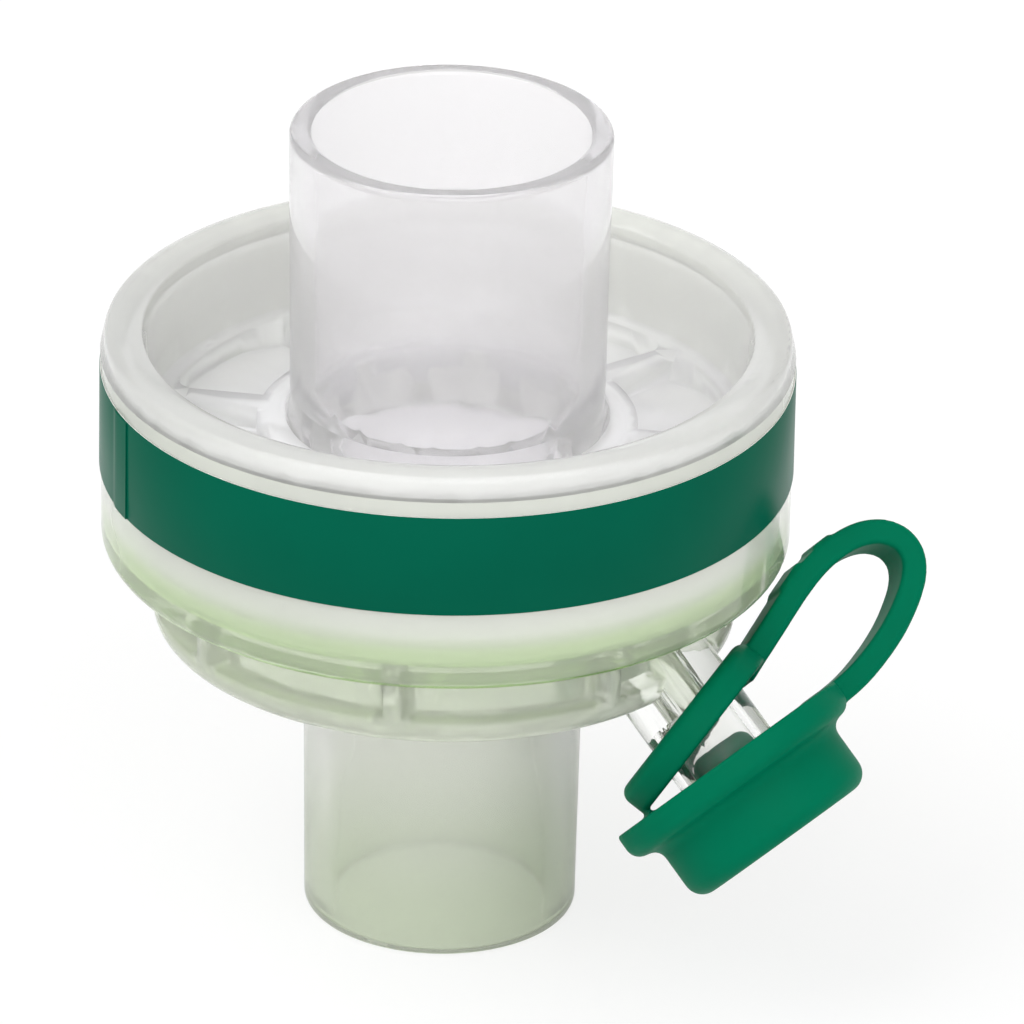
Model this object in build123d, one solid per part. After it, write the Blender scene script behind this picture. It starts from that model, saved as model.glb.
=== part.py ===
from build123d import *
import math
import os

# Breathing circuit filter: two welded clear housings hold a moisture disc and a
# filter membrane, a label band wraps the drum, and a tethered cap plugs the side port.
# Millimetres. Z runs along the gas path, the origin is the lower cone's mouth, and the
# side port lies over +X.

# Standard taper of 15 mm breathing connectors, as radius gained per millimetre
cone_taper = 1 / 80

# Upper socket, the patient side
socket_length = 17.66
socket_mouth_radius = 7.75
socket_wall = 1.215
socket_depth = 16.16
socket_inner_round = 0.3
socket_outer_round = 0.4
socket_root_round = 1.2
throat_radius = 6.9

# Upper housing: deck, recess wall and crown
deck_thickness = 2.2
deck_ledge_height = 0.2
deck_ledge_width = 0.6
recess_wall_height = 4.2
recess_draft = 0.32
recess_band_height = 0.8
recess_band_flare = 0.15
recess_wall = 1.26
housing_gap = 0.2
crown_height = 1.65
crown_peak_inset = 1.3
crown_inner_drop = 0.5
crown_inner_round = 0.25
crown_peak_round = 1.2
crown_shoulder_drop = 0.4
crown_shoulder_inset = 0.28
crown_shoulder_round = 0.5
weld_bead = 0.05

# Pockets and ribs of both housings
rib_count = 8
deck_rib_width = 1.7
deck_pocket_inner_radius = 10.6
deck_pocket_margin = 0.25
deck_pocket_depth = 1.2
deck_pocket_corner = 1.0
deck_spacer_width = 1.0
deck_spacer_height = 0.5
deck_spacer_inner_radius = 7.6
drum_rib_width = 1.0
drum_pocket_depth = 1.05
drum_pocket_corner = 0.45
support_rib_width = 1.0
support_rib_inner_radius = 8.0

# Lower housing: cup, drum and base
cup_radius = 19.25
cup_wall = 1.3
cup_draft = 0.05
cup_floor = 1.2
cup_outer_round = 1.0
cup_inner_round = 0.2
drum_inset = 2.95
drum_height = 4.8
drum_wall = 1.2
drum_foot_height = 1.7
drum_foot_round = 1.1
base_thickness = 1.3
base_inner_round = 0.5

# Lower cone, the machine side
cone_length = 17.5
cone_mouth_radius = 7.64
cone_bore_radius = 6.25
cone_inner_round = 0.25
cone_outer_round = 0.4
cone_root_round = 0.5

# Filter media
membrane_thickness = 1.1
disc_thickness = 2.5
membrane_edge_gap = 0.25
disc_edge_gap = 0.1

# Label band, between margins to the cup's underside and the weld line
label_lower_margin = 4.88
label_upper_margin = 0.9
label_thickness = 0.1
label_seam_angle = -122.0
label_overlap_angle = 5.0

# Side port: its axis leans down and out, just inside the drum's lower corner
port_lean = 45.0
port_corner_cover = 0.89
port_corner_setback = 0.85
port_tube_radius = 3.05
port_length = 7.4
port_start = -5.0
port_mouth_radius = 2.15
port_taper = 0.03
port_taper_depth = 7.5
port_hole_radius = 1.2
port_edge_round = 0.25

# Cap, plug and flange, measured along the port's axis
cap_swivel = 58.4
cap_top = 3.35
cap_flange_radius = 7.4
cap_flange_thickness = 1.3
cap_flange_round = 0.5
cap_neck_round = 0.6
cap_radius = 5.9
cap_wall = 1.35
cap_floor = 1.15
cap_bottom_round = 1.1
cap_mouth_round = 0.3
cap_seat_gap = 0.35
plug_clearance = 0.05
plug_tip = 2.4
plug_tip_round = 0.8

# Retaining ring round the port's tube
ring_center_shift = 0.5
ring_center_drop = 0.8
ring_tilt = 15.6
ring_clearance = 0.3
ring_wall = 1.2
ring_thickness = 1.8
ring_upper_round = 0.75
ring_lower_round = 0.2

# Strap from ring to flange: bends given by outward reach and drop along the port's axis
strap_thickness = 1.45
strap_width = 3.5
strap_edge_round = 0.25
strap_root_drop = 0.3
strap_root_depth = 0.8
strap_corners = [(10.6, -2.75), (14.9, -2.6), (16.0, 0.4), (12.4, 3.0)]
strap_bends = [6.0, 1.9, 2.0, 6.0]
strap_pad_height = 0.2
strap_pad_spans = [(4.4, 6.4), (7.25, 8.6)]

# Heights, stacked from the cone's mouth upwards
base_bottom = cone_length
base_top = base_bottom + base_thickness
foot_top = base_bottom + drum_foot_height
cup_bottom = base_bottom + drum_height
seat_height = cup_bottom + cup_floor
clamp_bottom = seat_height + membrane_thickness
disc_top = clamp_bottom + disc_thickness
deck_bottom = disc_top + deck_spacer_height
deck_top = deck_bottom + deck_thickness
weld_line_height = deck_top + recess_wall_height
crown_top = weld_line_height + crown_height
overall_height = deck_top + socket_length
socket_ledge = overall_height - socket_depth

# Radii, stepped inwards from the cup's wall
cup_inner_radius = cup_radius - cup_wall
recess_outer_radius = cup_inner_radius - housing_gap
recess_floor_radius = recess_outer_radius - recess_wall
drum_radius = cup_radius - drum_inset
drum_inner_radius = drum_radius - drum_pocket_depth - drum_wall
rib_pitch = 360 / rib_count
rib_angles = [rib_pitch * (k + 0.5) for k in range(rib_count)]
eps = 0.01


def turned(points):
    """Solid of revolution about Z from (radius, height, corner round) points."""
    face = make_face(Polyline(*[(p[0], 0, p[1]) for p in points], close=True))
    section = Sketch() + face
    for radius, height, corner in points:
        if corner > 0:
            vertex = section.vertices().sort_by_distance((radius, 0, height))[0]
            section = fillet(vertex, corner)
    return revolve(section, Axis.Z, 360)


def disc(radius, bottom, top):
    """Plain round plate between two heights."""
    return Pos(0, 0, bottom) * extrude(Circle(radius), top - bottom)


def annulus(inner, outer, bottom, top):
    """Plain ring between two radii and two heights."""
    return disc(outer, bottom, top) - disc(inner, bottom, top)


def spokes(inner, outer, width, bottom, top):
    """Radial bars at the rib angles."""
    bars = []
    for angle in rib_angles:
        bar = Box(outer - inner, width, top - bottom, align=(Align.MIN, Align.CENTER, Align.MIN))
        bars.append(Rot(0, 0, angle) * Pos(inner, 0, bottom) * bar)
    return bars


def pockets(inner, outer, rib_width, bottom, top, corner, rounded_radii):
    """Ring sectors between the ribs, with their upright edges rounded at the given radii."""
    ring = annulus(inner, outer, bottom, top) - spokes(inner / 2, outer * 2, rib_width, bottom, top)
    sector = ring.solids().sort_by(Axis.X)[-1]
    for radius in rounded_radii:
        upright = sector.edges().filter_by(Axis.Z)
        corners = [e for e in upright if abs(math.hypot(e.center().X, e.center().Y) - radius) < rib_width / 4]
        sector = fillet(corners, corner)
    return [Rot(0, 0, rib_pitch * k) * sector for k in range(rib_count)]


# Upper housing
socket_outer_mouth = socket_mouth_radius + socket_wall
socket_outer_root = socket_outer_mouth - cone_taper * (overall_height - deck_top)
socket_bore_end = socket_mouth_radius - cone_taper * socket_depth
rim_inner_height = crown_top - crown_inner_drop
band_height = rim_inner_height - recess_band_height
band_radius = recess_floor_radius + recess_draft
bead_radius = cup_radius + weld_bead
clamp_inner_radius = recess_floor_radius

upper_profile = [
    (throat_radius, deck_bottom, 0),
    (throat_radius, socket_ledge, 0),
    (socket_bore_end, socket_ledge, 0),
    (socket_mouth_radius, overall_height, socket_inner_round),
    (socket_outer_mouth, overall_height, socket_outer_round),
    (socket_outer_root, deck_top, socket_root_round),
    (recess_floor_radius - deck_ledge_width, deck_top, 0),
    (recess_floor_radius - deck_ledge_width, deck_top + deck_ledge_height, 0),
    (recess_floor_radius, deck_top + deck_ledge_height, 0),
    (band_radius, band_height, 0),
    (band_radius + recess_band_flare, rim_inner_height, crown_inner_round),
    (bead_radius - crown_peak_inset, crown_top, crown_peak_round),
    (bead_radius - crown_shoulder_inset, crown_top - crown_shoulder_drop, crown_shoulder_round),
    (bead_radius, weld_line_height, 0),
    (recess_outer_radius, weld_line_height, 0),
    (recess_outer_radius, clamp_bottom, 0),
    (clamp_inner_radius, clamp_bottom, 0),
    (clamp_inner_radius, deck_bottom, 0),
]
deck_pocket_outer_radius = recess_floor_radius - deck_ledge_width - deck_pocket_margin
deck_pockets = pockets(
    deck_pocket_inner_radius,
    deck_pocket_outer_radius,
    deck_rib_width,
    deck_top - deck_pocket_depth,
    deck_top + eps,
    deck_pocket_corner,
    [deck_pocket_inner_radius, deck_pocket_outer_radius],
)
deck_spacers = spokes(
    deck_spacer_inner_radius,
    clamp_inner_radius + eps,
    deck_spacer_width,
    disc_top,
    deck_bottom + eps,
)
upper_housing = turned(upper_profile) - deck_pockets + deck_spacers

# Lower housing, with the cone and the side port in one moulding
cone_root_radius = cone_mouth_radius + cone_taper * base_bottom
cone_bore_end = cone_bore_radius + cone_taper * base_top
cup_bottom_radius = cup_radius - cup_draft
lower_profile = [
    (cone_bore_radius, 0, cone_inner_round),
    (cone_mouth_radius, 0, cone_outer_round),
    (cone_root_radius, base_bottom, cone_root_round),
    (drum_radius, base_bottom, drum_foot_round),
    (drum_radius, cup_bottom, 0),
    (cup_bottom_radius, cup_bottom, cup_outer_round),
    (cup_radius, weld_line_height, 0),
    (cup_inner_radius, weld_line_height, 0),
    (cup_inner_radius, seat_height, cup_inner_round),
    (drum_inner_radius, seat_height, 0),
    (drum_inner_radius, base_top, base_inner_round),
    (cone_bore_end, base_top, 0),
]
drum_pockets = pockets(
    drum_radius - drum_pocket_depth,
    drum_radius + drum_pocket_depth,
    drum_rib_width,
    foot_top,
    cup_bottom,
    drum_pocket_corner,
    [drum_radius - drum_pocket_depth],
)
support_ribs = spokes(
    support_rib_inner_radius,
    drum_inner_radius + eps,
    support_rib_width,
    base_top - eps,
    seat_height,
)
plenum = disc(drum_inner_radius, base_top, seat_height)

# Port frame: local Z runs out along the port, local X points up and out, square to it
lean = math.radians(port_lean)
port_direction = Vector(math.cos(lean), 0, -math.sin(lean))
port_side = Vector(math.sin(lean), 0, math.cos(lean))
drum_corner = Vector(drum_radius, 0, base_bottom)
port_origin = drum_corner - port_side * port_corner_cover + port_direction * port_corner_setback
port_frame = Location(Plane(origin=port_origin, x_dir=port_side, z_dir=port_direction))
port_bore_end = port_mouth_radius - port_taper * port_taper_depth
port_tube_profile = [
    (0, port_start, 0),
    (port_tube_radius, port_start, 0),
    (port_tube_radius, port_length, port_edge_round),
    (0, port_length, 0),
]
port_tube = port_frame * turned(port_tube_profile)
port_bore_profile = [
    (0, port_start - port_hole_radius, 0),
    (port_hole_radius, port_start - port_hole_radius, 0),
    (port_hole_radius, port_length - port_taper_depth, 0),
    (port_bore_end, port_length - port_taper_depth, 0),
    (port_mouth_radius, port_length, 0),
    (port_mouth_radius, port_length + eps, 0),
    (0, port_length + eps, 0),
]
port_bore = port_frame * turned(port_bore_profile)
lower_housing = turned(lower_profile) - drum_pockets + port_tube - plenum + support_ribs - port_bore

# Moisture disc and filter membrane
membrane_radius = cup_inner_radius - membrane_edge_gap
filter_membrane = disc(membrane_radius, seat_height, clamp_bottom)
hme_disc = disc(clamp_inner_radius - disc_edge_gap, clamp_bottom, disc_top)

# Label band, one strip whose end overlaps its start
label_outer = cup_radius + label_thickness
label_bottom = cup_bottom + label_lower_margin
label_top = weld_line_height - label_upper_margin
label_band = annulus(cup_radius, label_outer, label_bottom, label_top)
overlap_arc = annulus(label_outer, label_outer + label_thickness, label_bottom, label_top)
overlap_wedge = extrude(
    make_face(
        Polyline(
            (0, 0, 0),
            (2 * cup_radius, 0, 0),
            (2 * cup_radius * math.cos(math.radians(label_overlap_angle)),
             2 * cup_radius * math.sin(math.radians(label_overlap_angle)), 0),
            close=True,
        )
    ),
    overall_height,
    dir=(0, 0, 1),
)
label_band = label_band + (overlap_arc & (Rot(0, 0, label_seam_angle) * overlap_wedge))

# Cap, tethered by its strap to a ring that hangs loosely on the port's tube
cap_bottom = port_length + cap_seat_gap + cap_floor
cap_inner_radius = cap_radius - cap_wall
plug_mouth_radius = port_mouth_radius - plug_clearance
plug_tip_radius = plug_mouth_radius - port_taper * (port_length - plug_tip)
plug_root_radius = plug_mouth_radius
cap_profile = [
    (0, plug_tip, 0),
    (plug_tip_radius, plug_tip, plug_tip_round),
    (plug_root_radius, port_length, 0),
    (plug_root_radius, port_length + cap_seat_gap, 0),
    (cap_inner_radius, port_length + cap_seat_gap, cap_mouth_round),
    (cap_inner_radius, cap_top, cap_mouth_round),
    (cap_flange_radius, cap_top, 0),
    (cap_flange_radius, cap_top + cap_flange_thickness, cap_flange_round),
    (cap_radius, cap_top + cap_flange_thickness, cap_neck_round),
    (cap_radius, cap_bottom, cap_bottom_round),
    (0, cap_bottom, 0),
]
tilt = math.radians(ring_tilt)
ring_slack = ring_center_shift + ring_clearance + ring_thickness / 2 * math.sin(tilt)
ring_inner_radius = (port_tube_radius + ring_slack) / math.cos(tilt)
ring_outer_radius = ring_inner_radius + ring_wall
ring_profile = [
    (ring_inner_radius, -ring_thickness / 2, 0),
    (ring_outer_radius, -ring_thickness / 2, ring_upper_round),
    (ring_outer_radius, ring_thickness / 2, ring_lower_round),
    (ring_inner_radius, ring_thickness / 2, 0),
]
cap_frame = port_frame * Rot(0, 0, -cap_swivel)
ring_place = Pos(-ring_center_shift, 0, ring_center_drop) * Rot(0, ring_tilt, 0)
ring_middle_radius = ring_inner_radius + ring_wall / 2
ring_root = (
    ring_middle_radius * math.cos(tilt) - ring_center_shift,
    ring_center_drop - ring_middle_radius * math.sin(tilt) + strap_root_drop,
)
flange_root = (cap_flange_radius - strap_root_depth, cap_top + cap_flange_thickness / 2)
strap_route = [ring_root] + strap_corners + [flange_root]
strap_path = FilletPolyline(*[(reach, 0, drop) for reach, drop in strap_route], radius=strap_bends)
strap_start = Plane(origin=strap_path @ 0, x_dir=(0, 1, 0), z_dir=strap_path % 0)
strap_section = strap_start * RectangleRounded(strap_width, strap_thickness, strap_edge_round)
strap = sweep(strap_section, path=strap_path)


def strap_pad(start, end):
    """Low gripping pad on the strap's upper face, between two distances along it."""
    share = (start + end) / 2 / strap_path.length
    along = strap_path % share
    outward = Vector(along.Z, 0, -along.X)
    place = Plane(origin=strap_path @ share, x_dir=along, z_dir=outward)
    rise = strap_thickness / 2 + strap_pad_height
    pad = Box(end - start, strap_width - 2 * strap_edge_round, rise, align=(Align.CENTER, Align.CENTER, Align.MIN))
    return place * pad


cap_body = turned(cap_profile)
retaining_ring = ring_place * turned(ring_profile)
strap_pads = [strap_pad(start, end) for start, end in strap_pad_spans]
luer_cap = cap_frame * (cap_body + retaining_ring + strap + strap_pads)

nodes = {
    "upper_housing": upper_housing,
    "lower_housing": lower_housing,
    "hme_disc": hme_disc,
    "filter_membrane": filter_membrane,
    "label_band": label_band,
    "luer_cap": luer_cap,
}
os.makedirs("parts", exist_ok=True)
for name, shape in nodes.items():
    export_step(shape, f"parts/{name}.step")
    print(name, len(shape.solids()), "solid", round(shape.volume, 1), "mm3")
print("strap length", round(strap_path.length, 2))
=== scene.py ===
import math

import bmesh
import bpy
import numpy as np
from mathutils import Matrix, Vector


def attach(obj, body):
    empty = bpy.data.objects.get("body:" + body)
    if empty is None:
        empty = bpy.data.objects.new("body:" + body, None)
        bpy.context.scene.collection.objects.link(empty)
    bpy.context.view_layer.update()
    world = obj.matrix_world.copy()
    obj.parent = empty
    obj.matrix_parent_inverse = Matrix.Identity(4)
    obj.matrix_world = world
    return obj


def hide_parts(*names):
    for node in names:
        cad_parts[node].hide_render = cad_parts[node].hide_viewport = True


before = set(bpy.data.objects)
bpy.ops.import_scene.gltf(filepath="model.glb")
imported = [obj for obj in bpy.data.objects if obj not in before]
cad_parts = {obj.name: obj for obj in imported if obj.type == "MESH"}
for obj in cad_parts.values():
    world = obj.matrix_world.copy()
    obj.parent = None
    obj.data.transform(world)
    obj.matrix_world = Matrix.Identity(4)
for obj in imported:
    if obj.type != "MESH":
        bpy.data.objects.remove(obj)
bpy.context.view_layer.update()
print("frame loaded")

mm = 0.001
whole = 2 * np.pi


# Helpers for surfaces
def shade(r, g, b):
    # an sRGB colour in 0 to 255 as the linear colour that shaders take
    c = np.array([r, g, b], float) / 255
    lin = np.where(c <= 0.04045, c / 12.92, ((c + 0.055) / 1.055) ** 2.4)
    return (float(lin[0]), float(lin[1]), float(lin[2]), 1.0)


def link(obj):
    bpy.context.scene.collection.objects.link(obj)
    return obj


def joinDoubles(mesh, distance=1e-6):
    # points that share a place become one, which closes poles and seams
    work = bmesh.new()
    work.from_mesh(mesh)
    bmesh.ops.remove_doubles(work, verts=work.verts, dist=distance)
    bmesh.ops.dissolve_degenerate(work, edges=work.edges, dist=distance / 10)
    work.to_mesh(mesh)
    work.free()


def closeAndSmooth(mesh, sharpAngle):
    # joined corners, shaded smooth except across edges that turn by more than sharpAngle degrees
    joinDoubles(mesh)
    mesh.shade_smooth()
    mesh.set_sharp_from_angle(angle=math.radians(sharpAngle))


def mergedCopy(node, name, sharpAngle):
    # the node's own triangles with shared corners joined
    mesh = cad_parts[node].data.copy()
    mesh.name = name
    closeAndSmooth(mesh, sharpAngle)
    mesh.materials.clear()
    piece = link(bpy.data.objects.new(name, mesh))
    # large flat faces keep their own direction and the small rounds between them take up the turn
    weigh = piece.modifiers.new("weigh", "WEIGHTED_NORMAL")
    weigh.mode = "FACE_AREA"
    weigh.weight = 100
    weigh.keep_sharp = True
    return piece


def gridObject(name, points, wrapRows=False, wrapColumns=False):
    # a grid of points (rows, columns, 3) in mm as one quad surface, wrapped round in either direction
    rows, columns = points.shape[:2]
    index = np.arange(rows * columns).reshape(rows, columns)
    i = np.arange(rows if wrapRows else rows - 1)
    j = np.arange(columns if wrapColumns else columns - 1)
    nextRow, nextColumn = (i + 1) % rows, (j + 1) % columns
    corners = ((i, j), (nextRow, j), (nextRow, nextColumn), (i, nextColumn))
    quads = np.stack([index[row][:, column] for row, column in corners], axis=-1)
    mesh = bpy.data.meshes.new(name)
    mesh.from_pydata((points.reshape(-1, 3) * mm).tolist(), [], quads.reshape(-1, 4).tolist())
    return link(bpy.data.objects.new(name, mesh))


def roundedOutline(corners, steps=7):
    # a closed outline of (x, y, round) corners, each one an arc of that round that meets both its sides:
    # the arc's centre lies round / sin(half the corner's angle) along the corner's middle line. The tiny
    # limits keep a sharp or a straight corner from dividing by nothing
    table = np.array(corners, float)
    spot, size = table[:, :2], np.maximum(table[:, 2], 1e-5)[:, None]
    before = np.roll(spot, 1, axis=0) - spot
    after = np.roll(spot, -1, axis=0) - spot
    before /= np.linalg.norm(before, axis=1, keepdims=True)
    after /= np.linalg.norm(after, axis=1, keepdims=True)
    half = np.arccos(np.clip((before * after).sum(1, keepdims=True), -1, 1)) / 2
    middle = before + after
    middle /= np.maximum(np.linalg.norm(middle, axis=1, keepdims=True), 1e-9)
    centre = spot + middle * size / np.sin(half)
    start = spot + before * size / np.tan(half) - centre
    end = spot + after * size / np.tan(half) - centre
    sweep = np.maximum(np.pi - 2 * half, 1e-6)[:, None]
    t = np.linspace(0, 1, steps)[None, :, None]
    arc = (np.sin((1 - t) * sweep) * start[:, None] + np.sin(t * sweep) * end[:, None]) / np.sin(sweep)
    return (centre[:, None] + arc).reshape(-1, 2)


def turnedPoints(outline, segments=144):
    # an outline of (radius, height) carried round the axis: x = r cos a, y = r sin a, z = height
    a = np.linspace(0, whole, segments, endpoint=False)[None, :]
    r, z = outline[:, :1], outline[:, 1:]
    return np.stack([r * np.cos(a), r * np.sin(a), z + 0 * a], axis=-1)


def ridesAs(piece, body, slot, *nodes):
    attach(piece, body)
    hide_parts(*nodes)


# Helpers for materials
def newMaterial(name):
    mat = bpy.data.materials.new(name)
    mat.use_nodes = True
    return mat, mat.node_tree, mat.node_tree.nodes["Principled BSDF"]


def addNode(tree, kind, inputs=None, **settings):
    node = tree.nodes.new(kind)
    for key, value in settings.items():
        setattr(node, key, value)
    for key, value in (inputs or {}).items():
        if isinstance(value, bpy.types.NodeSocket):
            tree.links.new(value, node.inputs[key])
        else:
            node.inputs[key].default_value = value
    return node


def calculate(tree, operation, a, b):
    return addNode(tree, "ShaderNodeMath", {0: a, 1: b}, operation=operation).outputs[0]


def blend(tree, kind, factor, a, b):
    # from a to b as the factor goes from 0 to 1, for colours (RGBA) or numbers (FLOAT)
    mix = addNode(tree, "ShaderNodeMix", {"Factor": factor, "A": a, "B": b}, data_type=kind)
    return mix.outputs["Result"]


def remap(tree, value, source=(0.0, 1.0), target=(0.0, 1.0), ease="LINEAR"):
    # the value's place between the two source numbers, carried over to the two target numbers
    inputs = {"Value": value, "From Min": source[0], "From Max": source[1]}
    inputs |= {"To Min": target[0], "To Max": target[1]}
    return addNode(tree, "ShaderNodeMapRange", inputs, interpolation_type=ease).outputs["Result"]


def relief(tree, bsdf, height, strength, depth=0.05):
    # raises the surface by the height's share of depth, in mm
    bump = addNode(tree, "ShaderNodeBump", {"Height": height, "Strength": strength, "Distance": depth * mm})
    tree.links.new(bump.outputs["Normal"], bsdf.inputs["Normal"])


def grainGroup():
    # fine moulding grain from one noise, and a slow cloud from another that shifts the tint and the gloss
    group = bpy.data.node_groups.new("mouldedGrain", "ShaderNodeTree")
    face = group.interface
    face.new_socket("Vector", in_out="INPUT", socket_type="NodeSocketVector")
    face.new_socket("Fine Scale", in_out="INPUT", socket_type="NodeSocketFloat")
    face.new_socket("Cloud Scale", in_out="INPUT", socket_type="NodeSocketFloat")
    face.new_socket("Grain", in_out="OUTPUT", socket_type="NodeSocketFloat")
    face.new_socket("Cloud", in_out="OUTPUT", socket_type="NodeSocketFloat")
    enter = group.nodes.new("NodeGroupInput")
    leave = group.nodes.new("NodeGroupOutput")
    for scale, detail, result in (("Fine Scale", 0.0, "Grain"), ("Cloud Scale", 1.0, "Cloud")):
        inputs = {"Vector": enter.outputs["Vector"], "Scale": enter.outputs[scale], "Detail": detail}
        noise = addNode(group, "ShaderNodeTexNoise", inputs)
        group.links.new(noise.outputs["Fac"], leave.inputs[result])
    return group


def bandGroup():
    # 1 between two heights, easing to 0 over a soft margin above and below
    group = bpy.data.node_groups.new("heightBand", "ShaderNodeTree")
    face = group.interface
    for name in ("Height", "Low", "High", "Soft"):
        face.new_socket(name, in_out="INPUT", socket_type="NodeSocketFloat")
    face.new_socket("Mask", in_out="OUTPUT", socket_type="NodeSocketFloat")
    enter = group.nodes.new("NodeGroupInput")
    leave = group.nodes.new("NodeGroupOutput")
    height, low, high, soft = (enter.outputs[name] for name in ("Height", "Low", "High", "Soft"))
    rise = remap(group, height, (calculate(group, "SUBTRACT", low, soft), low), ease="SMOOTHSTEP")
    fall = remap(group, height, (calculate(group, "ADD", high, soft), high), ease="SMOOTHSTEP")
    group.links.new(calculate(group, "MULTIPLY", rise, fall), leave.inputs["Mask"])
    return group


mouldedGrain = grainGroup()
heightBand = bandGroup()
cloudSpan = (0.3, 0.7)  # the cloud seldom leaves this span


def grainOf(tree, place, fineScale, cloudScale):
    inputs = {"Vector": place, "Fine Scale": fineScale, "Cloud Scale": cloudScale}
    grain = addNode(tree, "ShaderNodeGroup", inputs, node_tree=mouldedGrain)
    return grain.outputs["Grain"], grain.outputs["Cloud"]


def clearPlastic(name, look):
    # see-through plastic: its colour goes from tint to deepTint with the cloud, and to each band's colour
    # between that band's heights, which for the cup and the cone also paints green glow and shade
    mat, tree, bsdf = newMaterial(name)
    coord = addNode(tree, "ShaderNodeTexCoord").outputs["Object"]
    grain, cloud = grainOf(tree, coord, look["fineScale"], look["cloudScale"])
    colour = blend(tree, "RGBA", cloud, look["tint"], look["deepTint"])
    height = addNode(tree, "ShaderNodeSeparateXYZ", {"Vector": coord}).outputs["Z"]
    for low, high, soft, bandColour in look.get("bands", []):
        inputs = {"Height": height, "Low": low * mm, "High": high * mm, "Soft": soft * mm}
        band = addNode(tree, "ShaderNodeGroup", inputs, node_tree=heightBand)
        colour = blend(tree, "RGBA", band.outputs["Mask"], colour, bandColour)
    tree.links.new(colour, bsdf.inputs["Base Color"])
    tree.links.new(remap(tree, cloud, cloudSpan, look["rough"]), bsdf.inputs["Roughness"])
    relief(tree, bsdf, grain, look["bump"])
    bsdf.inputs["IOR"].default_value = look["ior"]
    bsdf.inputs["Transmission Weight"].default_value = look["transmission"]
    # lamps reach what is behind the wall, dimmed by its tint and its share
    path = addNode(tree, "ShaderNodeLightPath")
    through = addNode(tree, "ShaderNodeBsdfTransparent")
    through.inputs["Color"].default_value = [look["lampShare"] * value for value in look["tint"][:3]] + [1.0]
    mix = addNode(tree, "ShaderNodeMixShader",
                  {0: path.outputs["Is Shadow Ray"], 1: bsdf.outputs["BSDF"], 2: through.outputs["BSDF"]})
    tree.links.new(mix.outputs["Shader"], tree.nodes["Material Output"].inputs["Surface"])
    return mat


def faceCentres(mesh):
    # each face's centre as radius, height, azimuth in degrees and x, which say what finish it takes
    centre = np.empty(len(mesh.polygons) * 3)
    mesh.polygons.foreach_get("center", centre)
    x, y, z = centre.reshape(-1, 3).T / mm
    return np.hypot(x, y), z, np.degrees(np.arctan2(y, x)), x


# Upper housing: a milky crown, a clear sunken deck, and a frosted socket with its collar and its throat
upperShape = {"sharp": 40, "deckRadius": 16.6, "deckTop": 30.2, "collarRadius": 9.3, "throatRadius": 7.5}
crownLook = {
    "tint": shade(248, 248, 246), "deepTint": shade(245, 246, 244), "rough": (0.1, 0.18), "ior": 1.4,
    "transmission": 0.52, "lampShare": 0.95, "fineScale": 500.0, "cloudScale": 60.0, "bump": 0.05,
}
deckLook = {
    "tint": shade(253, 253, 253), "deepTint": shade(251, 251, 252), "rough": (0.08, 0.14), "ior": 1.34,
    "transmission": 0.54, "lampShare": 1.0, "fineScale": 500.0, "cloudScale": 60.0, "bump": 0.03,
}
socketLook = {
    "tint": shade(248, 247, 248), "deepTint": shade(244, 243, 244), "rough": (0.07, 0.12), "ior": 1.4,
    "transmission": 0.78, "lampShare": 0.96, "fineScale": 900.0, "cloudScale": 70.0, "bump": 0.1,
}
upperHousing = mergedCopy("upper_housing", "upperHousing", upperShape["sharp"])
for name, look in (("milky crown", crownLook), ("clear deck", deckLook), ("frosted socket", socketLook)):
    upperHousing.data.materials.append(clearPlastic(name, look))
radius, height = faceCentres(upperHousing.data)[:2]
onDeck = (radius < upperShape["deckRadius"]) & (height < upperShape["deckTop"])
onSocket = (radius < upperShape["collarRadius"]) & (height > upperShape["deckTop"])
onSocket |= radius < upperShape["throatRadius"]
finish = np.where(onSocket, 2, np.where(onDeck, 1, 0))
upperHousing.data.polygons.foreach_set("material_index", finish.astype(np.int32))
ridesAs(upperHousing, "filter_body", "clear_housing", "upper_housing")
print("upper housing", len(upperHousing.data.polygons), "faces")

# Lower housing: milky cup with a painted green glow where it turns in to the drum, frosted cone with painted
# shade towards its mouth, clear slanted port
lowerShape = {
    "sharp": 40, "coneRadius": 8.6, "coneTop": 17.4,
    "portFrom": 13.0, "portTop": 22.2, "portSpread": 14, "drumRadius": 16.35, "drumBottom": 17.45,
}
cupLook = {
    "tint": shade(253, 254, 250), "deepTint": shade(249, 252, 244), "rough": (0.08, 0.15), "ior": 1.4,
    "transmission": 0.64, "lampShare": 0.97, "fineScale": 500.0, "cloudScale": 60.0, "bump": 0.05,
    # the first band is the drum's own yellow-green tint; the second and third are painted green glow under
    # the label, a wide pale one and a narrow strong ring
    "bands": [(16.0, 22.0, 0.4, shade(245, 250, 236)), (22.0, 24.5, 1.5, shade(222, 234, 206)),
              (22.2, 22.6, 0.25, shade(176, 219, 124))],
}
coneLook = {
    "tint": shade(249, 249, 247), "deepTint": shade(245, 246, 242), "rough": (0.12, 0.18), "ior": 1.36,
    "transmission": 0.74, "lampShare": 0.85, "fineScale": 900.0, "cloudScale": 70.0, "bump": 0.1,
    # the band is painted shade: the cone turns darker and greener towards its mouth, where the floor in its
    # shadow shows through the bore
    "bands": [(-4.0, 2.0, 11.0, shade(222, 229, 212))],
}
portLook = {
    "tint": shade(253, 253, 252), "deepTint": shade(250, 251, 249), "rough": (0.05, 0.09), "ior": 1.24,
    "transmission": 0.97, "lampShare": 0.98, "fineScale": 700.0, "cloudScale": 90.0, "bump": 0.03,
}
lowerHousing = mergedCopy("lower_housing", "lowerHousing", lowerShape["sharp"])
for name, look in (("milky cup", cupLook), ("frosted cone", coneLook), ("clear port", portLook)):
    lowerHousing.data.materials.append(clearPlastic(name, look))
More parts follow.
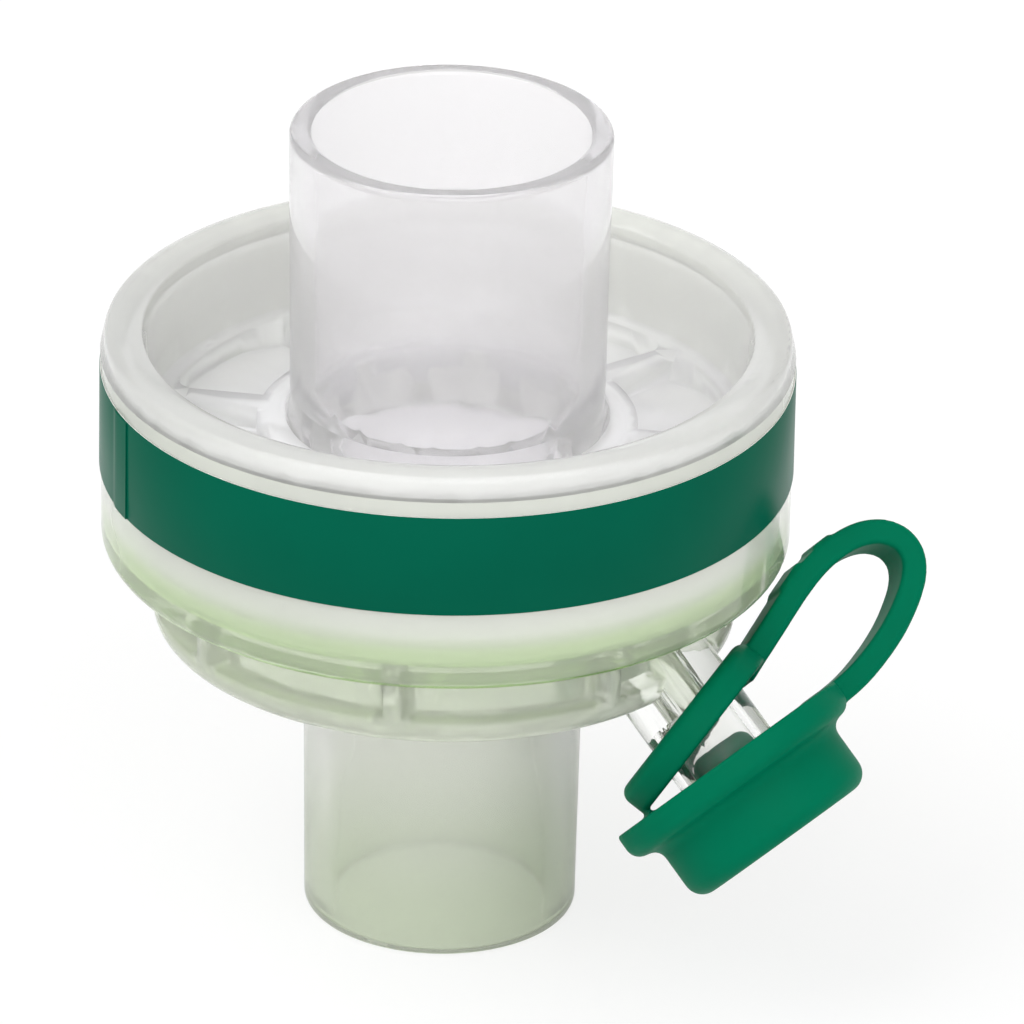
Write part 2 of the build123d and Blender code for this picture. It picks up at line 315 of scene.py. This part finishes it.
radius, height, azimuth, across = faceCentres(lowerHousing.data)
onCone = (radius < lowerShape["coneRadius"]) & (height < lowerShape["coneTop"])
onPort = (across > lowerShape["portFrom"]) & (np.abs(azimuth) < lowerShape["portSpread"])
onPort &= height < lowerShape["portTop"]
onPort &= (radius > lowerShape["drumRadius"]) | (height < lowerShape["drumBottom"])
finish = np.where(onPort, 2, np.where(onCone, 1, 0))
lowerHousing.data.polygons.foreach_set("material_index", finish.astype(np.int32))
ridesAs(lowerHousing, "filter_body", "clear_housing", "lower_housing")
print("lower housing", len(lowerHousing.data.polygons), "faces")


# Media: a paper disc over a felt membrane
fibreLook = {
    "turns": (0.4, 1.9), "stretch": (1.0, 0.18, 1.0), "detail": 4.0, "fleckSpan": (0.4, 0.75), "depth": 0.1,
    "rough": 0.9, "specular": 0.1,
}


def fibrous(name, look):
    # matted fibres: stretched noise seen twice at a slant, as colour flecks and as height
    mat, tree, bsdf = newMaterial(name)
    coord = addNode(tree, "ShaderNodeTexCoord").outputs["Object"]
    layers = []
    for turn in fibreLook["turns"]:
        inputs = {"Vector": coord, "Rotation": (0, 0, turn), "Scale": fibreLook["stretch"]}
        slant = addNode(tree, "ShaderNodeMapping", inputs).outputs["Vector"]
        inputs = {"Vector": slant, "Scale": look["scale"], "Detail": fibreLook["detail"]}
        layers.append(addNode(tree, "ShaderNodeTexNoise", inputs).outputs["Fac"])
    matted = calculate(tree, "MAXIMUM", *layers)
    fleck = remap(tree, matted, fibreLook["fleckSpan"])
    tree.links.new(blend(tree, "RGBA", fleck, look["dark"], look["colour"]), bsdf.inputs["Base Color"])
    relief(tree, bsdf, matted, look["bump"], fibreLook["depth"])
    bsdf.inputs["Roughness"].default_value = fibreLook["rough"]
    bsdf.inputs["Specular IOR Level"].default_value = fibreLook["specular"]
    return mat


def mediaOutline(shape):
    # a disc's half section from its axis out and back, its edge rounded
    return roundedOutline([
        (0, shape["bottom"], 0),
        (shape["radius"], shape["bottom"], shape["bottomRound"]),
        (shape["radius"], shape["top"], shape["topRound"]),
        (0, shape["top"], 0),
    ])


discShape = {
    "radius": 16.37, "bottom": 24.6, "top": 27.08, "bottomRound": 0.1, "topRound": 0.35, "sharp": 50,
}
discLook = {"colour": shade(249, 248, 250), "dark": shade(240, 239, 243), "scale": 900.0, "bump": 0.25}
points = turnedPoints(mediaOutline(discShape))
moistureDisc = gridObject("moistureDisc", points, wrapRows=True, wrapColumns=True)
closeAndSmooth(moistureDisc.data, discShape["sharp"])
moistureDisc.data.materials.append(fibrous("paper media", discLook))
ridesAs(moistureDisc, "filter_body", "media_white", "hme_disc")

# the membrane's edge waves in and out: its radius grows by a sum of three sines of the angle, each given as
# (turns, shift, share)
membraneShape = {
    "radius": 17.62, "bottom": 23.52, "top": 24.58, "bottomRound": 0.3, "topRound": 0.3, "segments": 288,
    "frill": 0.07, "frillFrom": 17, "waves": [(23, 1.3, 0.5), (41, 0.0, 0.3), (67, 2.0, 0.2)], "sharp": 50,
}
membraneLook = {"colour": shade(243, 246, 238), "dark": shade(226, 234, 214), "scale": 1400.0, "bump": 0.4}
points = turnedPoints(mediaOutline(membraneShape), membraneShape["segments"])
around = np.arctan2(points[..., 1], points[..., 0])
wave = sum(share * np.sin(count * around + shift) for count, shift, share in membraneShape["waves"])
grown = 1 + membraneShape["frill"] * wave / membraneShape["radius"]
onEdge = np.hypot(points[..., 0], points[..., 1]) > membraneShape["frillFrom"]
points[..., :2] *= np.where(onEdge, grown, 1)[..., None]
filterMembrane = gridObject("filterMembrane", points, wrapRows=True, wrapColumns=True)
closeAndSmooth(filterMembrane.data, membraneShape["sharp"])
filterMembrane.data.materials.append(fibrous("felt membrane", membraneLook))
ridesAs(filterMembrane, "filter_body", "membrane_white", "filter_membrane")
print("media", len(moistureDisc.data.polygons), len(filterMembrane.data.polygons), "faces")

# Label film: a thin rectangle carried once round the cup, x = r cos a and y = r sin a. Its radius steps up
# where its end lies over its start, and its front ripples by a product of two sines of the angle
labelShape = {
    "inner": 19.26, "outer": 19.34, "bottom": 27.2, "top": 33.08, "innerRound": 0.01, "outerRound": 0.03,
    "seam": -123.0, "overlap": 5.0, "step": 0.09, "stepSpan": 1.2, "segments": 480,
    "ripple": 0.006, "rippleTurns": (7, 3.1), "rippleShift": 0.4, "backMargin": 0.02, "sharp": 40,
}
labelLook = {
    "inkFrom": 19.3, "back": shade(251, 251, 250), "ink": (shade(0, 84, 64), shade(0, 95, 72)),
    "speckScale": 130.0, "speckDetail": 5.0, "rough": (0.24, 0.36), "bump": 0.08, "specular": 0.03,
}
start = math.radians(labelShape["seam"])
lapStart = start - math.radians(labelShape["overlap"] + labelShape["stepSpan"])
turns = np.linspace(start - whole - math.radians(labelShape["overlap"]), start, labelShape["segments"])
lift = labelShape["step"] * np.clip((turns - lapStart) / math.radians(labelShape["stepSpan"]), 0, 1)
outline = roundedOutline([
    (labelShape["inner"], labelShape["bottom"], labelShape["innerRound"]),
    (labelShape["outer"], labelShape["bottom"], labelShape["outerRound"]),
    (labelShape["outer"], labelShape["top"], labelShape["outerRound"]),
    (labelShape["inner"], labelShape["top"], labelShape["innerRound"]),
], steps=3)
fast, slow = labelShape["rippleTurns"]
wave = labelShape["ripple"] * np.sin(fast * turns + labelShape["rippleShift"]) * np.sin(slow * turns)
onFront = outline[:, :1] > labelShape["inner"] + labelShape["backMargin"]
reach = outline[:, :1] + lift[None, :] + wave[None, :] * onFront
points = np.stack([reach * np.cos(turns), reach * np.sin(turns), outline[:, 1:] + 0 * turns], axis=-1)
# each end closes to a point inside itself
ends = points.mean(axis=0, keepdims=True).repeat(len(outline), axis=0)[:, [0, -1]]
points = np.concatenate([ends[:, :1], points, ends[:, 1:]], axis=1)
labelFilm = gridObject("labelFilm", points, wrapRows=True)
closeAndSmooth(labelFilm.data, labelShape["sharp"])
labelMat, tree, bsdf = newMaterial("printed label film")
coord = addNode(tree, "ShaderNodeTexCoord").outputs["Object"]
place = addNode(tree, "ShaderNodeSeparateXYZ", {"Vector": coord})
flat = addNode(tree, "ShaderNodeCombineXYZ", {"X": place.outputs["X"], "Y": place.outputs["Y"]})
reach = addNode(tree, "ShaderNodeVectorMath", {0: flat.outputs[0]}, operation="LENGTH")
printed = calculate(tree, "GREATER_THAN", reach.outputs["Value"], labelLook["inkFrom"] * mm)
inputs = {"Vector": coord, "Scale": labelLook["speckScale"], "Detail": labelLook["speckDetail"]}
speck = addNode(tree, "ShaderNodeTexNoise", inputs).outputs["Fac"]
ink = blend(tree, "RGBA", speck, *labelLook["ink"])
tree.links.new(blend(tree, "RGBA", printed, labelLook["back"], ink), bsdf.inputs["Base Color"])
tree.links.new(remap(tree, speck, target=labelLook["rough"]), bsdf.inputs["Roughness"])
relief(tree, bsdf, speck, labelLook["bump"])
bsdf.inputs["Specular IOR Level"].default_value = labelLook["specular"]
labelFilm.data.materials.append(labelMat)
ridesAs(labelFilm, "filter_body", "label_green", "label_band")
print("label film", len(labelFilm.data.polygons), "faces")

# Port cap: turned body and ring, swept strap and two pads, fused to one soft moulding. Body and ring are
# (radius, place along the port, round) corners, the strap's route and the pads are (along the strap, place
# along the port) points, all from the point where the port leaves the drum
capShape = {
    "origin": (16.2717, 0.0, 16.2696), "swivel": 58.4,
    "body": [
        (0, 2.4, 0), (1.9, 2.4, 0.8), (2.08, 7.4, 0), (2.08, 7.75, 0.1), (4.55, 7.75, 0.3),
        (4.55, 3.35, 0.2), (7.4, 3.35, 0.12), (7.42, 4.95, 0.85), (5.9, 5.25, 0.7), (5.9, 8.88, 1.1),
        (0, 8.88, 0),
    ],
    "ring": [(4.25, -0.9, 0), (5.45, -0.9, 0.7), (5.45, 0.9, 0.15), (4.25, 0.9, 0)],
    "ringPlace": (-0.5, 0.0, 0.8), "ringTilt": 15.6, "ringLean": 4.9, "cornerSteps": 9,
    "route": [
        (3.2, 0.1), (4.2, -0.3), (6.4, -1.1), (8.19, -1.82), (10.3, -2.5), (12.0, -2.68), (13.5, -2.55),
        (14.8, -1.95), (15.55, -0.9), (15.5, 0.3), (14.75, 1.3), (13.53, 2.13), (12.0, 2.95), (10.28, 3.52),
        (8.67, 3.92), (7.13, 4.03), (5.8, 4.0),
    ],
    "routeSteps": 10, "width": 3.5, "thickness": 1.4, "edge": 0.25, "edgeSteps": 5,
    "pads": [((8.2, -1.8), (10.0, -2.42)), ((11.0, -2.58), (12.2, -2.62))],
    "padRise": 0.16, "padInset": 0.3, "padRoot": -0.3, "padRound": 0.1, "padSteps": 8, "padRoundSteps": 4,
    "voxel": 0.14, "smoothing": 3, "smoothShare": 0.5,
}
capLook = {
    "tone": (shade(0, 102, 73), shade(0, 116, 84)), "fineScale": 1400.0, "cloudScale": 160.0,
    "rough": (0.32, 0.5), "bump": 0.12, "specular": 0.02,
    "softness": 0.25, "softDepth": 1.0, "softColour": (0.4, 1.0, 0.8),
}


def splineAlong(points, steps):
    # uniform cubic B-spline of the control points, at every step of every span, from its basis matrix
    p = np.array(points, float)
    p = np.vstack([2 * p[0] - p[1], p, 2 * p[-1] - p[-2]])
    t = np.linspace(0, 1, steps, endpoint=False)[:, None]
    weight = np.hstack([(1 - t) ** 3, 3 * t**3 - 6 * t**2 + 4, -3 * t**3 + 3 * t**2 + 3 * t + 1, t**3]) / 6
    spans = np.stack([p[:-3], p[1:-2], p[2:-1], p[3:]], axis=1)
    return np.einsum("sk,nkd->nsd", weight, spans).reshape(-1, 2)


def sweptPoints(line, outline):
    # the outline carried along a flat line: the line's point plus its normal times the outline's rise, with
    # the outline's width sideways. Both ends close to a point
    along = np.gradient(line, axis=0)
    along /= np.linalg.norm(along, axis=1, keepdims=True)
    normal = np.stack([along[:, 1], -along[:, 0]], axis=1)
    spot = line[:, None] + normal[:, None] * outline[None, :, 1:]
    sideways = np.broadcast_to(outline[None, :, 0], spot.shape[:2])
    points = np.stack([spot[..., 0], sideways, spot[..., 1]], axis=-1)
    sides = points.shape[1]
    first, last = (points[[row]].mean(axis=1, keepdims=True).repeat(sides, axis=1) for row in (0, -1))
    return np.concatenate([first, points, last], axis=0)


def turnAbout(points, tilt, lean, place):
    # tips a turned form by tilt about the across axis and by lean about the strap's, then puts it in place
    a, b = math.radians(tilt), math.radians(lean)
    tip = np.array([[math.cos(a), 0, math.sin(a)], [0, 1, 0], [-math.sin(a), 0, math.cos(a)]])
    roll = np.array([[1, 0, 0], [0, math.cos(b), -math.sin(b)], [0, math.sin(b), math.cos(b)]])
    return points @ (roll @ tip).T + np.array(place)


def barOutline(half, low, high, edge, steps):
    # a bar's section: a rounded rectangle from -half to half across and from low to high
    corners = [(-half, low, edge), (half, low, edge), (half, high, edge), (-half, high, edge)]
    return roundedOutline(corners, steps)


slope = math.sqrt(0.5)
outward = np.array([slope, 0, -slope])
swivel = math.radians(capShape["swivel"])
strapAxis = math.cos(swivel) * np.array([slope, 0, slope]) + math.sin(swivel) * np.array([0, 1, 0])
capAxes = np.stack([strapAxis, np.cross(outward, strapAxis), outward])
bodyPoints = turnedPoints(roundedOutline(capShape["body"], capShape["cornerSteps"]))
ringPoints = turnedPoints(roundedOutline(capShape["ring"], capShape["cornerSteps"]))
ringPoints = turnAbout(ringPoints, capShape["ringTilt"], -capShape["ringLean"], capShape["ringPlace"])
wide, thick = capShape["width"] / 2, capShape["thickness"] / 2
strapOutline = barOutline(wide, -thick, thick, capShape["edge"], capShape["edgeSteps"])
padOutline = barOutline(wide - capShape["padInset"], capShape["padRoot"], thick + capShape["padRise"],
                        capShape["padRound"], capShape["padRoundSteps"])
strapPoints = sweptPoints(splineAlong(capShape["route"], capShape["routeSteps"]), strapOutline)
forms = [("capBody", bodyPoints, True), ("capRing", ringPoints, True), ("capStrap", strapPoints, False)]
for number, (padStart, padEnd) in enumerate(capShape["pads"]):
    line = np.linspace(padStart, padEnd, capShape["padSteps"])
    forms.append((f"capPad{number}", sweptPoints(line, padOutline), False))
work = bmesh.new()
for name, points, wrapRows in forms:
    form = gridObject(name, points @ capAxes + np.array(capShape["origin"]), wrapRows, wrapColumns=True)
    joinDoubles(form.data)
    work.from_mesh(form.data)
    bpy.data.objects.remove(form)
bmesh.ops.recalc_face_normals(work, faces=work.faces)
formsMesh = bpy.data.meshes.new("capForms")
work.to_mesh(formsMesh)
work.free()
capForms = link(bpy.data.objects.new("capForms", formsMesh))
fuse = capForms.modifiers.new("fuse", "REMESH")
fuse.mode = "VOXEL"
fuse.voxel_size = capShape["voxel"] * mm
fuse.use_smooth_shade = True
soften = capForms.modifiers.new("soften", "SMOOTH")
soften.factor = capShape["smoothShare"]
soften.iterations = capShape["smoothing"]
bpy.context.view_layer.update()
fused = bpy.data.meshes.new_from_object(capForms.evaluated_get(bpy.context.evaluated_depsgraph_get()))
fused.name = "portCap"
bpy.data.objects.remove(capForms)
portCap = link(bpy.data.objects.new("portCap", fused))
portCap.data.shade_smooth()
capMat, tree, bsdf = newMaterial("green cap plastic")
coord = addNode(tree, "ShaderNodeTexCoord").outputs["Object"]
grain, cloud = grainOf(tree, coord, capLook["fineScale"], capLook["cloudScale"])
tree.links.new(blend(tree, "RGBA", cloud, *capLook["tone"]), bsdf.inputs["Base Color"])
tree.links.new(remap(tree, cloud, target=capLook["rough"]), bsdf.inputs["Roughness"])
relief(tree, bsdf, grain, capLook["bump"])
bsdf.inputs["Specular IOR Level"].default_value = capLook["specular"]
bsdf.inputs["Subsurface Weight"].default_value = capLook["softness"]
bsdf.inputs["Subsurface Scale"].default_value = capLook["softDepth"] * mm
bsdf.inputs["Subsurface Radius"].default_value = capLook["softColour"]
portCap.data.materials.clear()
portCap.data.materials.append(capMat)
ridesAs(portCap, "port_cap", "cap_green", "luer_cap")
print("port cap", len(portCap.data.polygons), "faces")


# Floor: pale paper whose glow makes it white where nothing shades it, weaker for the rays that come
# through glass
def byRay(tree, path, kinds, other, own):
    # own where the ray is of one of the kinds, and other for every other ray
    seen = path.outputs[kinds[0]]
    for kind in kinds[1:]:
        seen = calculate(tree, "MAXIMUM", seen, path.outputs[kind])
    return blend(tree, "FLOAT", seen, other, own)


floorLook = {
    "size": 3.0, "rough": 0.9, "specular": 0.0,
    "colour": 0.8,
    "camera": {"colour": 0.26, "glow": 0.74},
    "glass": {"colour": 0.85, "glow": 0.1},
}
half = floorLook["size"] / 2 / mm
corners = np.array([[[-half, -half, 0], [-half, half, 0]], [[half, -half, 0], [half, half, 0]]], float)
floor = gridObject("floor", corners)
mat, tree, bsdf = newMaterial("floor paper")
bsdf.inputs["Roughness"].default_value = floorLook["rough"]
bsdf.inputs["Specular IOR Level"].default_value = floorLook["specular"]
bsdf.inputs["Emission Color"].default_value = (1, 1, 1, 1)
path = addNode(tree, "ShaderNodeLightPath")
glassKinds = ("Is Glossy Ray", "Is Transmission Ray")
paper = byRay(tree, path, glassKinds, floorLook["colour"], floorLook["glass"]["colour"])
paper = byRay(tree, path, ("Is Camera Ray",), paper, floorLook["camera"]["colour"])
tree.links.new(paper, bsdf.inputs["Base Color"])
glow = byRay(tree, path, glassKinds, 0.0, floorLook["glass"]["glow"])
glow = byRay(tree, path, ("Is Camera Ray",), glow, floorLook["camera"]["glow"])
tree.links.new(glow, bsdf.inputs["Emission Strength"])
floor.data.materials.append(mat)

# Studio: a grey world, a little lighter overhead, that shows white directly, and three soft lamps
studioLook = {
    "below": 0.5, "above": 0.7,
    "lamps": [
        {"name": "key", "from": (-0.6, -0.75, 1.4), "softness": 45, "strength": 1.1},
        {"name": "front", "from": (0.35, -1.0, 0.35), "softness": 70, "strength": 0.5},
        {"name": "right", "from": (1.0, -0.6, 0.75), "softness": 60, "strength": 0.85},
    ],
    "wallsCrossed": 14, "bounces": 3,
}
world = bpy.data.worlds.new("studio")
bpy.context.scene.world = world
world.use_nodes = True
tree = world.node_tree
direction = addNode(tree, "ShaderNodeTexCoord").outputs["Generated"]
upward = addNode(tree, "ShaderNodeSeparateXYZ", {"Vector": direction}).outputs["Z"]
sky = remap(tree, upward, (-1.0, 1.0), (studioLook["below"], studioLook["above"]))
path = addNode(tree, "ShaderNodeLightPath")
back = tree.nodes["Background"]
back.inputs["Color"].default_value = (1, 1, 1, 1)
tree.links.new(byRay(tree, path, ("Is Camera Ray",) + glassKinds, sky, 1.0), back.inputs["Strength"])
for lampLook in studioLook["lamps"]:
    lamp = bpy.data.lights.new(lampLook["name"], "SUN")
    lamp.angle = math.radians(lampLook["softness"])
    lamp.energy = lampLook["strength"]
    lampObject = link(bpy.data.objects.new(lampLook["name"], lamp))
    lampObject.location = Vector(lampLook["from"])
    lampObject.rotation_euler = (-Vector(lampLook["from"])).to_track_quat("-Z", "Y").to_euler()

# Camera: looks from the photograph's side
cameraLook = {
    "lookAt": (3.139, 1.962, 24.07), "distance": 750.49, "bearing": -58.0, "elevation": 26.16, "roll": 1.076,
    "lens": 473.1, "sensor": 36, "clip": (0.05, 20),
}
bearing, elevation, roll = (math.radians(cameraLook[turn]) for turn in ("bearing", "elevation", "roll"))
flat = math.cos(elevation)
away = Vector((flat * math.cos(bearing), flat * math.sin(bearing), math.sin(elevation)))
level = Vector((-math.sin(bearing), math.cos(bearing), 0))
upright = away.cross(level)
right = math.cos(roll) * level + math.sin(roll) * upright
up = -math.sin(roll) * level + math.cos(roll) * upright
cameraData = bpy.data.cameras.new("camera")
cameraData.lens = cameraLook["lens"]
cameraData.sensor_width = cameraLook["sensor"]
cameraData.clip_start, cameraData.clip_end = cameraLook["clip"]
camera = link(bpy.data.objects.new("camera", cameraData))
spot = (Vector(cameraLook["lookAt"]) + away * cameraLook["distance"]) * mm
camera.matrix_world = Matrix.Translation(spot) @ Matrix((right, up, away)).transposed().to_4x4()
bpy.context.scene.camera = camera
bpy.context.scene.view_settings.view_transform = "Standard"
# a lamp's light crosses every wall of the housings
bpy.context.scene.cycles.transparent_max_bounces = studioLook["wallsCrossed"]
bpy.context.scene.cycles.diffuse_bounces = studioLook["bounces"]
bpy.context.scene.cycles.glossy_bounces = studioLook["bounces"]
print("studio ready")
